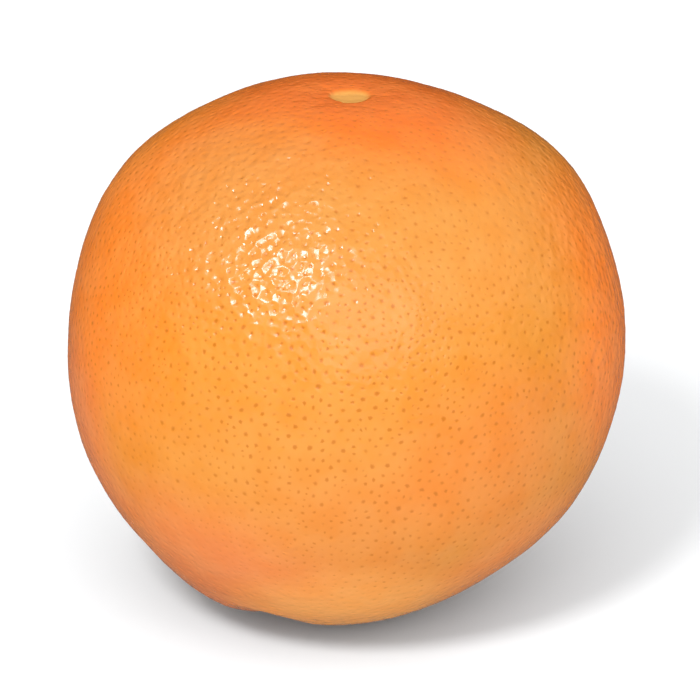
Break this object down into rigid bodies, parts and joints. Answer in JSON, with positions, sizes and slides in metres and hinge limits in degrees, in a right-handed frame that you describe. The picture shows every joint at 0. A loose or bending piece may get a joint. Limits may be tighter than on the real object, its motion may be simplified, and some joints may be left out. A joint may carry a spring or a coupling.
{
  "type": "grapefruit",
  "caption": "Whole round grapefruit with full shoulders, a shallow dip at the blossom end and a furrowed stem end that it rests on.",
  "frame": {"origin": "middle of the fruit's base, on the surface that it rests on", "axes": "+Z from the stem end up to the blossom end; the deepest stem-end furrow runs out between -X and -Y"},
  "size_m": [0.1018, 0.1018, 0.0986],
  "materials": {
    "peel": "satin"
  },
  "bodies": {
    "root": {"grapefruit": "peel"}
  },
  "joints": []
}
